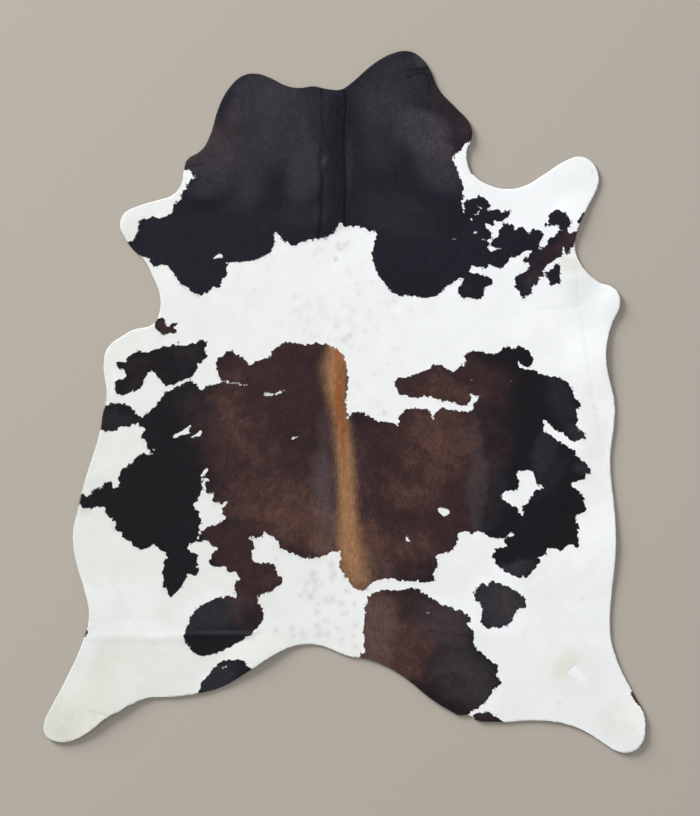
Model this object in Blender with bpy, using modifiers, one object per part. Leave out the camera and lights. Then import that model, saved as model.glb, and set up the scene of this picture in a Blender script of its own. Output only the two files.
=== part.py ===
# Cowhide rug lying flat, hair side up: one whole hide, and the small patch let into its hind quarter.
# Metres, +Z up. The origin is on the floor under the middle of the hide, and +Y runs to the neck.
import math

import bmesh
import bpy
from mathutils import Matrix

HIDE_LENGTH = 2.106      # neck's crown to the right hind foot
HIDE_WIDTH = 1.806       # left hind foot to right hind foot
HIDE_THICKNESS = 0.006   # about 2.5 mm of leather, with its short hair lying flat on it
PATCH_GAP = 0.0003       # clear all round the patch
GRID_STEP = 0.048        # spacing of the rows that carry the hide's unevenness
CURVE_STEPS = 4          # straight runs from one station of an outline to the next
CUTTER_HEIGHT = 0.2      # tall enough to pass through the hide wherever it lifts
MILLIMETRE = 0.001

# The knife-cut edge, clockwise from the neck's left corner, one table for each stretch.
# Columns: across (to the right of the middle line), along (towards the neck), in millimetres.
EDGE = {
    "neck, left side": (
        (-480, 702), (-473, 726), (-433, 753), (-412, 780), (-373, 895), (-341, 949)),
    "crown, left lobe": (
        (-304, 980), (-265, 986), (-223, 973), (-173, 949), (-133, 943), (-94, 948), (-49, 939), (-10, 938)),
    "crown, right lobe": (
        (20, 957), (77, 1007), (107, 1028), (147, 1047), (191, 1053), (226, 1037), (256, 999), (284, 937)),
    "neck, right side": (
        (332, 886), (377, 834), (383, 792), (368, 756), (370, 717), (389, 681), (431, 653), (482, 640)),
    "right foreleg": (
        (536, 647), (602, 685), (662, 723), (707, 737), (743, 721), (763, 678), (758, 640), (731, 588),
        (704, 528), (692, 465)),
    "right elbow": (
        (704, 424), (737, 381), (770, 357), (800, 348), (824, 321), (826, 286), (805, 239)),
    "right flank": (
        (790, 186), (785, 132), (793, 78), (809, 12), (812, -36), (798, -174), (812, -336), (815, -429),
        (800, -603), (797, -660)),
    "right hind leg": (
        (806, -738), (870, -880), (889, -912), (898, -934), (903, -978), (892, -1026), (860, -1050), (818, -1048),
        (773, -1021), (731, -994), (677, -970), (611, -957)),
    "rump": (
        (443, -960), (398, -955), (370, -938), (350, -941), (314, -924), (257, -888), (188, -832), (122, -792),
        (53, -768), (17, -764), (-25, -748), (-67, -732), (-109, -727), (-154, -733), (-211, -759),
        (-283, -805), (-367, -855)),
    "left hind leg": (
        (-433, -873), (-523, -885), (-589, -888), (-641, -908), (-673, -927), (-709, -945), (-769, -993), (-823, -1018),
        (-871, -1017), (-899, -997), (-900, -960), (-883, -921), (-844, -849), (-779, -702)),
    "left flank": (
        (-766, -636), (-780, -565), (-802, -493), (-814, -429), (-812, -372), (-797, -319), (-784, -256),
        (-732, -84), (-724, -33), (-714, 0), (-720, 138), (-704, 171)),
    "left elbow": (
        (-667, 198), (-634, 217), (-572, 235), (-553, 276), (-556, 331), (-577, 381), (-596, 420)),
    "left foreleg": (
        (-640, 464), (-658, 493), (-673, 525), (-661, 565), (-614, 590), (-553, 608), (-514, 622), (-492, 648)),
}

# The patch's corners, clockwise from its upper one. Columns as above.
PATCH_CORNERS = ((697, -786), (727, -829), (724, -841), (704, -838), (665, -815))

# Where the stiff hide stands off the floor along its edge.
# Columns: across, along, reach of the lift, height at its middle, in millimetres.
LIFTS = {
    "crown": (191, 1053, 130, 3),
    "neck, right side": (383, 786, 110, 3),
    "right foreleg, inner side": (704, 540, 110, 4),
    "right elbow": (826, 300, 110, 4),
    "right flank, hollow": (785, 132, 150, 5),
    "right flank, round": (815, -429, 180, 3),
    "right hind foot": (896, -1000, 130, 4),
    "rump, right side": (250, -884, 140, 3),
    "rump, left side": (-247, -780, 170, 5),
    "left hind leg, inner side": (-709, -945, 190, 6),
    "left hind foot": (-895, -960, 120, 3),
    "left flank, hollow": (-770, -640, 130, 2),
    "left foreleg": (-673, 528, 110, 3),
}

# Low swells that run along the hide.
# Columns: across and along of the neck end, of the tail end, half the width, height, in millimetres.
SWELLS = {
    "nape, between its two creases": (-33, 900, -36, 560, 60, 4),
    "loose skin left of the nape": (-190, 880, -250, 640, 90, 2),
}

HAIR_WHITE = (0.86, 0.87, 0.86, 1.0)
PATCH_WHITE = (0.93, 0.94, 0.95, 1.0)
HAIR_ROUGHNESS = 0.62


def clear_scene():
    for item in list(bpy.data.objects):
        bpy.data.objects.remove(item)


def make_collection(name):
    collection = bpy.data.collections.new(name)
    bpy.context.scene.collection.children.link(collection)
    return collection


def make_material(name, colour):
    material = bpy.data.materials.new(name)
    material.use_nodes = True
    shader = material.node_tree.nodes["Principled BSDF"]
    shader.inputs["Base Color"].default_value = colour
    shader.inputs["Roughness"].default_value = HAIR_ROUGHNESS
    shader.inputs["Metallic"].default_value = 0.0
    return material


def bell(distance, reach):
    # 1 in the middle, easing to 0 at the reach
    return 0.5 + 0.5 * math.cos(math.pi * min(1.0, distance / reach))


def distance_to_run(across, along, start_across, start_along, end_across, end_along):
    run = (end_across - start_across, end_along - start_along)
    part = (across - start_across) * run[0] + (along - start_along) * run[1]
    part = max(0.0, min(1.0, part / (run[0] ** 2 + run[1] ** 2)))
    return math.hypot(across - start_across - part * run[0], along - start_along - part * run[1])


def relief(across, along):
    # height of the underside above the floor, all in millimetres
    height = 0.0
    for middle_across, middle_along, reach, lift in LIFTS.values():
        height += lift * bell(math.hypot(across - middle_across, along - middle_along), reach)
    for start_across, start_along, end_across, end_along, half_width, lift in SWELLS.values():
        distance = distance_to_run(across, along, start_across, start_along, end_across, end_along)
        height += lift * bell(distance, half_width)
    return height


def prism_from_outline(name, stations, handle, steps, grow, collection):
    # closed upright prism over an outline in millimetres, grown outwards by a clearance
    curve = bpy.data.curves.new(name, "CURVE")
    curve.dimensions = "2D"
    curve.fill_mode = "BOTH"
    curve.extrude = CUTTER_HEIGHT / 2
    curve.offset = grow
    curve.resolution_u = steps
    spline = curve.splines.new("BEZIER")
    spline.bezier_points.add(len(stations) - 1)
    spline.use_cyclic_u = True
    for point, (across, along) in zip(spline.bezier_points, stations):
        point.co = (across * MILLIMETRE, along * MILLIMETRE, 0.0)
        point.handle_left_type = handle
        point.handle_right_type = handle
    drawn = bpy.data.objects.new(name + "_drawn", curve)
    collection.objects.link(drawn)
    bpy.context.view_layer.update()
    mesh = bpy.data.meshes.new_from_object(drawn.evaluated_get(bpy.context.evaluated_depsgraph_get()))
    bpy.data.objects.remove(drawn)
    body = bmesh.new()
    body.from_mesh(mesh)
    bmesh.ops.remove_doubles(body, verts=body.verts, dist=0.00001)
    bmesh.ops.recalc_face_normals(body, faces=body.faces)
    body.to_mesh(mesh)
    body.free()
    prism = bpy.data.objects.new(name, mesh)
    prism.hide_render = True
    prism.display_type = "WIRE"
    collection.objects.link(prism)
    return prism


def make_sheet_mesh(name):
    # grid of square cells over the whole hide, raised to its relief
    columns = math.ceil(HIDE_WIDTH / GRID_STEP) + 2
    rows = math.ceil(HIDE_LENGTH / GRID_STEP) + 2
    size = Matrix.Diagonal((columns * GRID_STEP / 2, rows * GRID_STEP / 2, 1.0, 1.0))
    body = bmesh.new()
    bmesh.ops.create_grid(body, x_segments=columns, y_segments=rows, size=1.0, matrix=size)
    for vertex in body.verts:
        vertex.co.z = relief(vertex.co.x / MILLIMETRE, vertex.co.y / MILLIMETRE) * MILLIMETRE
    mesh = bpy.data.meshes.new(name)
    body.to_mesh(mesh)
    body.free()
    return mesh


def cut_with(item, cutter, operation):
    boolean = item.modifiers.new(operation.title(), "BOOLEAN")
    boolean.operation = operation
    boolean.solver = "EXACT"
    boolean.object = cutter


def make_piece(name, material, outline, collection):
    # one piece of the uneven sheet, cut to an outline
    mesh = make_sheet_mesh(name)
    mesh.materials.append(material)
    piece = bpy.data.objects.new(name, mesh)
    collection.objects.link(piece)
    thicken = piece.modifiers.new("Thickness", "SOLIDIFY")
    thicken.thickness = HIDE_THICKNESS
    thicken.offset = 1.0
    cut_with(piece, outline, "INTERSECT")
    return piece


def build():
    clear_scene()
    parts = make_collection("cowhide_rug")
    cutters = make_collection("cutters")
    edge_stations = [station for stretch in EDGE.values() for station in stretch]
    hide_outline = prism_from_outline("hide_outline", edge_stations, "AUTO", CURVE_STEPS, 0.0, cutters)
    patch_outline = prism_from_outline("patch_outline", PATCH_CORNERS, "VECTOR", 1, 0.0, cutters)
    patch_opening = prism_from_outline("patch_opening", PATCH_CORNERS, "VECTOR", 1, PATCH_GAP, cutters)
    hide = make_piece("hide", make_material("white_hair", HAIR_WHITE), hide_outline, parts)
    cut_with(hide, patch_opening, "DIFFERENCE")
    make_piece("mending_patch", make_material("patch_hair", PATCH_WHITE), patch_outline, parts)


build()
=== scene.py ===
# Cowhide rug, hair side up. Metres, +Z up, +Y towards the neck.
import math
import bpy
import numpy as np
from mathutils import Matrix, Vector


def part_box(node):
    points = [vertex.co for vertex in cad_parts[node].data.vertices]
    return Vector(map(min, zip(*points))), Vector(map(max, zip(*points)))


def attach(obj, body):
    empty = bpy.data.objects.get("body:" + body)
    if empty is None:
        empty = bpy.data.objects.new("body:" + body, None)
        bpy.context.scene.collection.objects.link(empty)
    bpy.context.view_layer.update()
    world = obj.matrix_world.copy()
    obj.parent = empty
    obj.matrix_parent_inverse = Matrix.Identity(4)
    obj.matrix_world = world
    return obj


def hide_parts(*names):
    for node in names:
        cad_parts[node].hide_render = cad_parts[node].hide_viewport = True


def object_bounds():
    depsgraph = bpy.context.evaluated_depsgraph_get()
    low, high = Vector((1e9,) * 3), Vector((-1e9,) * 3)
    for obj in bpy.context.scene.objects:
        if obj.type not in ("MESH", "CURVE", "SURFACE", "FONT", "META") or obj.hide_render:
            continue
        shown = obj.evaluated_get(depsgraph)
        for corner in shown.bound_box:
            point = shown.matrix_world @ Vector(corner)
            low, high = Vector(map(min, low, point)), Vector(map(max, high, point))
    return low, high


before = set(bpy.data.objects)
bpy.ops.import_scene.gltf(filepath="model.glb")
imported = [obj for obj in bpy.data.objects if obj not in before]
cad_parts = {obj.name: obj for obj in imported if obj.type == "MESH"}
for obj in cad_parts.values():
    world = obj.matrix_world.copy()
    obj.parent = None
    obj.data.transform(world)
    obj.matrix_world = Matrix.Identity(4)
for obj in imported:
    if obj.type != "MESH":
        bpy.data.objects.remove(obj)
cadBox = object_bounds()
print("frame loaded:", sorted(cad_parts))

photo = {
    "size": (700, 816),          # pixels
    "pixel": 0.003,              # metres of hide in one pixel
    "middle": (344.3, 402.0),    # the pixel that lies over the origin: right, down
}


def fromPhoto(rows):
    # right and down in the photo's pixels, to across and along in metres
    return (np.asarray(rows, float) - photo["middle"]) * photo["pixel"] * (1, -1)


# The dark markings as they lie in the photo, each a few stretches of its edge, clockwise or not.
# Columns: right, down, in the photo's pixels. A marking that reaches the hide's edge runs on past it.
darkMarkings = {
    "cape and right shoulder": (
        # past the edge, round the neck
        (471, 140.5), (482, 120), (520, 90), (500, 20), (180, 20), (150, 130), (177, 168),
        # left side of the neck
        (185, 170), (190, 171), (192, 175), (198, 177), (193, 179), (187, 184), (186, 189), (182, 192),
        (180, 199), (173, 204), (172, 212), (166, 216), (160, 218), (151, 216), (147, 218), (138.5, 221),
        (138.5, 231), (134.5, 235.5), (134, 239.5), (129, 241.5), (125.5, 248), (132, 254),
        # lower side, left of the spine
        (141, 256), (150, 260), (153, 266), (166, 266), (174, 274), (179, 282), (189, 290.5), (195, 294),
        (201, 294.5), (207, 292.5), (212, 288.5), (221, 287), (221, 280), (228, 273), (227, 263),
        (242, 262), (256, 260), (269, 253), (275, 244), (274, 238), (277, 233), (283, 240), (294, 246),
        (299, 243), (314, 239), (325, 238), (334, 232.5), (340, 223),
        # lower side, right of the spine
        (345, 227), (357, 226), (368, 231), (377, 233), (374, 243), (372, 254), (375, 267), (381, 279),
        (389, 290), (398, 295), (412, 296), (430, 298), (441, 292), (452, 283), (462, 278), (460, 286),
        (458, 293), (461, 297), (478, 300), (483, 296), (485, 288), (491, 285), (493, 281), (490, 277),
        (486, 277), (483, 274.5), (470, 272), (472, 266.5), (483, 267.8), (492, 265.5), (500, 268.5),
        (508, 263), (509, 257.5), (520, 255.5), (529, 249.8), (532, 252.5),
        # slanting streak of the shoulder
        (524.5, 259), (523, 262), (528, 265), (526, 271), (516, 276), (515.5, 283), (514.5, 288),
        (520, 291.5), (521, 299), (527, 296), (531.5, 293.5), (532, 287), (538, 283), (540, 277),
        (545, 276), (544, 269), (553, 261), (561, 256), (563, 248), (565, 250), (566, 256), (569, 256),
        (571, 248), (574, 246), (578, 236), (579, 229), (571, 233), (567, 231), (572, 221), (567, 216),
        (565, 211), (558, 210), (550, 213), (549, 220), (545, 225), (547, 228), (551, 224), (554, 227),
        (558, 226), (558, 232), (555, 237), (548, 239), (546, 244), (539, 249),
        # upper side of the shoulder
        (541, 240), (543, 234), (541, 230), (534, 229), (527, 233), (524, 227), (519, 228), (515, 229),
        (515, 225), (505, 224), (500, 229), (497, 236), (490, 243), (487, 241), (491, 238), (492, 232),
        (485, 226), (493, 225), (495, 221), (503, 221), (508, 217), (511, 210), (503, 212), (496, 209),
        (487, 211), (491, 205), (485, 198), (480, 195), (472, 200), (466, 199), (464, 204), (464, 213),
        (462, 206),
        # right side of the neck
        (463.5, 190), (461, 180), (458, 171), (455.5, 165), (453, 159.5), (455, 155.5), (460.5, 152.5),
        (462, 147.5)),
    "left flank, upper patch": (
        (116.5, 366), (117.5, 362.5), (125, 361), (128, 357), (138, 352), (150, 352), (155, 349),
        (166, 347), (178, 344), (186, 346), (190, 343), (199, 342), (202, 339.7), (206, 341.5), (208, 345),
        (205, 350), (208, 356), (203, 361), (198, 364), (196, 372), (190, 377.5), (183, 380.3),
        (176, 383.5), (165, 386), (160, 381), (156, 375), (151, 371), (146, 377), (143, 384), (137, 390),
        (129, 393), (119, 396), (115, 389), (116, 381), (122, 379), (126, 376), (125, 372), (123.5, 369),
        (119, 369)),
    "left flank, edge patch": (
        (98, 410), (105, 406), (112, 403), (121, 405), (128, 405), (134, 411), (141, 420), (131, 426),
        (120, 427), (113, 431), (104, 431), (97, 428)),
    "left belly": (
        (178, 386), (171, 389.5), (163, 395), (158, 403), (151, 408), (145, 416), (139, 420), (139, 426),
        (145, 429), (141, 435), (146, 443), (148.5, 448.8), (153.5, 449.2), (150, 451.4), (150.5, 455),
        (144, 453), (136, 456), (132, 463), (122, 470), (118, 478), (119, 484), (114.5, 488.5), (113, 484),
        (108, 481), (102, 484), (100, 489.5), (94.5, 488.5), (91, 492), (88, 499), (86, 495.5), (83, 494),
        (74, 498), (74, 505), (82, 504.5), (82.5, 509), (86.5, 508), (91.5, 510), (93.5, 507), (105, 507.5),
        (106, 514), (112.5, 519.5), (116.5, 524), (114, 526), (116.5, 531.5), (121, 532.5), (123, 538),
        (130, 541), (133, 546), (143, 549.5), (155, 545), (162, 552), (167, 553), (164, 562), (162, 572),
        (164, 577), (162, 583), (166, 590), (170, 597), (178, 591), (186, 580), (186, 575), (197, 575),
        (200, 570), (196.5, 566), (198, 562), (195, 560), (197, 554), (188, 548.5), (193, 542), (203, 542),
        (212, 528), (225, 480), (215, 430), (205, 400), (192, 384), (186, 383.3)),
    "saddle, left of the stripe": (
        (184, 383.6), (193, 381.5), (202, 389), (208, 386), (219, 383), (221, 381), (217, 373),
        (217.5, 358), (223, 356.5), (225, 352.5), (230, 350.5), (234, 352.5), (242, 357), (250, 365),
        (257, 361), (268, 358), (272, 352), (284, 343), (296, 343), (304, 345), (324, 343), (337, 349),
        (344.5, 358), (347.5, 370), (347.5, 386), (346, 405), (348, 418), (360, 440), (360, 530),
        (341, 550), (330, 552), (321, 558), (308, 559), (295, 554), (281, 549), (278, 541), (266, 533),
        (260, 538), (249, 537), (255, 545), (251, 553), (238, 562), (222, 563), (211, 558), (217, 548),
        (212, 546), (207, 540), (199, 540), (192, 532), (185, 480), (175, 420)),
    "saddle, right of the stripe": (
        (348, 418), (357, 411), (366, 415), (377, 421), (390, 422), (398, 425), (399, 417), (405, 410),
        (418, 408), (427, 409), (431, 413), (433, 420), (434, 415), (438, 410), (445, 408), (460, 411),
        (472, 411), (474, 404), (480, 397), (474, 396), (471, 393), (471, 400), (468, 404), (461, 407),
        (455, 403), (440, 400), (425, 397), (413, 398), (405, 395), (398, 394), (398, 388), (395, 384),
        (397, 378), (410, 376.7), (421, 372), (435, 365), (442, 365), (448, 370), (454, 371), (459, 366),
        (464, 364), (464, 355), (476, 351), (485, 353), (497, 353.5), (505, 347), (512, 348), (520, 346),
        (526, 349), (533, 356), (532, 364), (525, 367), (518, 362), (524, 369), (533, 370), (546, 375),
        (560, 377), (567, 381), (572, 389), (574, 395), (580, 403), (580, 407), (576, 409), (578, 421),
        (575, 424), (581, 430), (587, 438), (582, 438.5), (574, 442), (563, 434), (553, 428), (545, 420),
        (544, 428), (552, 436), (563, 444), (574.5, 450), (576, 456), (583, 460.5), (587.5, 465.5),
        (590.5, 472.5), (584.5, 475), (583.5, 480), (570, 484), (577, 489.5), (583, 495), (584, 503),
        (587, 510), (581, 513), (575, 518.5), (578.5, 525.5), (578.5, 540), (579, 548.5), (570, 545),
        (562, 550), (548, 548), (546, 555), (538, 558), (541, 562), (533, 570), (527, 577), (514, 576),
        (500, 568), (493, 557), (495, 549), (505, 546), (504, 539), (513, 534), (503, 538), (490, 537.5),
        (480, 531.5), (470, 533.5), (460, 532), (457, 542), (451, 551), (437, 556), (438, 566), (434, 574),
        (435, 581), (420, 582), (400, 581), (390, 579), (377, 580.5), (371, 584), (367, 589), (362, 592),
        (356, 589), (351.5, 585), (348, 580.5), (345.5, 575.5), (340.5, 569.5), (339.5, 561), (341, 550),
        (330, 520), (335, 440)),
    "left hip, round patch": (
        (225, 545), (250, 548), (252, 557), (255, 563), (273, 564), (277, 572.5), (283, 582.5), (272, 591),
        (257, 597), (261, 606), (263, 620), (257, 629), (248, 637), (236, 643), (227, 649), (216, 653),
        (204, 656), (196, 655), (189, 647), (184, 638), (186, 627), (193, 613), (203, 605), (214, 599),
        (226, 596), (236, 596), (233, 586), (239, 579), (235, 573), (228, 572), (226, 567), (213, 567),
        (210, 559)),
    "right of the tail": (
        (364, 620), (365, 606), (371, 594), (382, 590.7), (400, 590.5), (414, 588), (424, 593), (436, 601),
        (452, 608), (466, 613), (471, 620), (467, 623), (474, 634), (474, 645), (484, 655), (499, 668),
        (496.5, 676), (502, 683), (495, 689), (488, 698), (481.5, 706.5), (469, 712), (466, 718),
        (450, 718), (425, 704), (400, 684), (378, 672), (359, 664), (361, 652), (364, 645), (363.7, 632)),
    "right haunch": (
        (476, 588), (483, 583), (487, 585), (492, 581), (505, 585), (516, 591), (524, 598), (526, 606),
        (519, 610), (513, 617), (509, 625), (500, 628), (485, 627), (480, 619), (483, 609), (476, 600),
        (474, 594)),
    "right shoulder, small": (
        (543, 274), (550, 271), (558, 263), (561, 270), (560, 276), (560, 282), (555.5, 283.5), (552, 287),
        (549, 281), (546, 276)),
    "left elbow": (
        (154, 324), (156, 320), (161, 318), (165.5, 320), (166.5, 325.5), (170, 326), (172, 323),
        (177, 322.5), (177, 325.5), (173.5, 327.5), (176.5, 330), (175, 334), (168, 334), (161, 336),
        (160.5, 332), (156, 329.5)),
    "right elbow, edge": ((585, 212), (581, 216), (577, 221), (580, 224), (584, 220), (590, 212)),
    "left of the tail, edge": (
        (199, 693), (203, 681), (210, 673), (219, 663), (228, 660), (241, 660), (252, 668), (256, 674),
        (238, 686), (215, 699)),
    "right of the tail, edge": ((473, 719), (480, 712), (490, 713), (499, 719), (506, 727), (480, 728)),
    "right shank, edge": ((631, 693), (634, 700), (640, 707), (645, 713), (650, 706), (638, 690)),
    "left flank, edge speck": ((88, 625), (86, 629), (88, 632), (86, 636), (80, 636), (82, 622)),
}

# White that breaks into the dark markings, the same way.
whiteMarkings = {
    "wedge of the belly": (
        (203, 478), (208, 480), (205, 484), (206, 492), (213, 494), (212, 499), (217, 504), (222, 504),
        (228, 501), (224, 507), (221, 513), (225, 518), (216, 524.5), (206, 527.5), (199.5, 535),
        (198, 543), (197, 543), (198.5, 533), (200.5, 521), (199, 512), (194, 505), (199, 498), (202, 490)),
    "crescent": (
        (516.5, 474), (521, 470.5), (530, 470), (533, 474), (534, 478), (537, 484), (544, 487.2),
        (535.5, 489), (533.5, 492), (531.5, 497), (527, 503), (522, 507), (523, 516.5), (517, 508),
        (509.5, 504.3), (503, 499), (501.8, 495), (508, 490.7), (516, 490), (519, 486), (519, 480)),
}

# Small white flecks in the dark hair, the same way.
whiteFlecks = {
    "wedge of the belly, tip": ((208, 468), (206, 473), (202, 476), (200, 476), (203, 472)),
    "right saddle, larger fleck": ((437, 509), (442, 508), (447, 509), (450, 512), (445, 516), (441, 514)),
    "left saddle, long fleck": ((263, 393), (274, 393), (285, 390), (279, 394), (269, 396)),
    "left saddle, hair line": ((217, 380), (233, 382), (248, 385), (248, 386), (233, 384), (218, 381.5)),
    "belly, larger fleck": (
        (173, 437.2), (181, 431.4), (187, 427.2), (191, 424.2), (188.4, 430), (188.8, 434), (182, 434.4)),
    "belly, smaller fleck": ((190.8, 437.4), (196, 434.6), (201.2, 430.2), (200, 436), (196, 436.4)),
    "cape, fleck": ((213, 259), (216, 256), (218.6, 253.6), (220.8, 254.8), (222.8, 258.8), (218, 257.8)),
    "shoulder, inlet": ((489, 246), (492, 246), (495, 248), (502, 248), (502, 249), (495, 250), (490, 252)),
}

# Small white dots in the dark hair, as leaning ovals.
# Columns: right, down, half the length, half the width (pixels), lean (degrees).
whiteDots = (
    (476, 232, 2.4, 1.6, 0), (471.5, 219.5, 1.6, 1.2, 60), (476.5, 214, 1.8, 0.8, 20),
    (479, 211.5, 1.8, 1.1, 60), (481, 208, 1.8, 0.5, 0), (484, 239.5, 2.2, 0.5, 10),
    (408, 540, 3.2, 1.4, -35), (294, 438.2, 3.0, 0.8, 12), (566.5, 231, 1.4, 0.8, 0),
    (473, 379.5, 1.6, 0.4, 20), (500, 377, 1.6, 0.4, 50), (512, 380.5, 2.0, 0.4, 35),
    (430, 614, 1.8, 0.35, -20), (363.2, 651, 2.8, 2.0, 60), (223.5, 667.5, 1.8, 0.9, 20),
    (341.5, 413, 1.6, 0.4, -60), (464, 212, 1.6, 0.5, 30), (456, 239, 1.4, 0.3, 0))

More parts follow.
